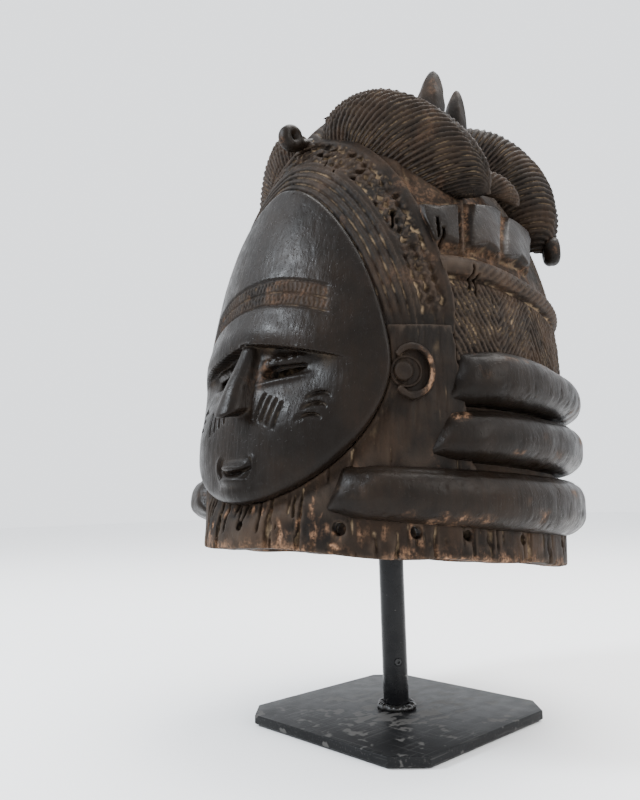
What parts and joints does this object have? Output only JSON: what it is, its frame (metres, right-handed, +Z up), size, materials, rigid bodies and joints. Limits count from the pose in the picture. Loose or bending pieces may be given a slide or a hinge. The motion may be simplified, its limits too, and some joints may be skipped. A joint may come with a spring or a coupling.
{
  "type": "carved wooden helmet mask on stand",
  "caption": "Hollow carved wooden helmet mask with neck rolls and lobed hair, resting on the padded head of a telescoping steel display stand.",
  "frame": {"origin": "on the surface the stand rests on, on the axis of the post", "axes": "+Z up along the post; the mask faces -Y and its own left side is +X"},
  "size_m": [0.268, 0.2986, 0.5305],
  "materials": {
    "carved_wood": "dark oiled patina, worn",
    "felt": "pressed felt",
    "blackened_steel": "satin, scuffed",
    "black_paint": "gloss",
    "weld": "gloss over a lumpy bead",
    "screw_steel": "blackened",
    "bright_steel": "drawn",
    "nylon": "turned"
  },
  "bodies": {
    "stand": {"base_felt": "felt", "base_plate": "blackened_steel", "post_tube": "black_paint", "weld_bead": "weld"},
    "set_screw": {"lock_screw": "screw_steel"},
    "rod": {"inner_rod": "bright_steel", "swivel_washer": "nylon"},
    "head": {"support_hub": "black_paint", "support_disc": "black_paint", "support_screw": "bright_steel", "support_pad": "felt"},
    "mask": {"mask": "carved_wood"}
  },
  "joints": [
    {"name": "screw_release", "type": "slide", "parent": "stand", "child": "set_screw", "axis": [0.8387, -0.5446, 0], "range_m": [0, 0.002]},
    {"name": "rod_height", "type": "slide", "parent": "stand", "child": "rod", "axis": [0, 0, 1], "range_m": [0, 0.024]},
    {"name": "head_swivel", "type": "hinge", "parent": "rod", "child": "head", "pos_m": [0, 0, 0.37], "axis": [0, 0, 1], "continuous": true},
    {"name": "mask_lift", "type": "slide", "parent": "head", "child": "mask", "axis": [0, 0, 1], "range_m": [0, 0.31]}
  ]
}
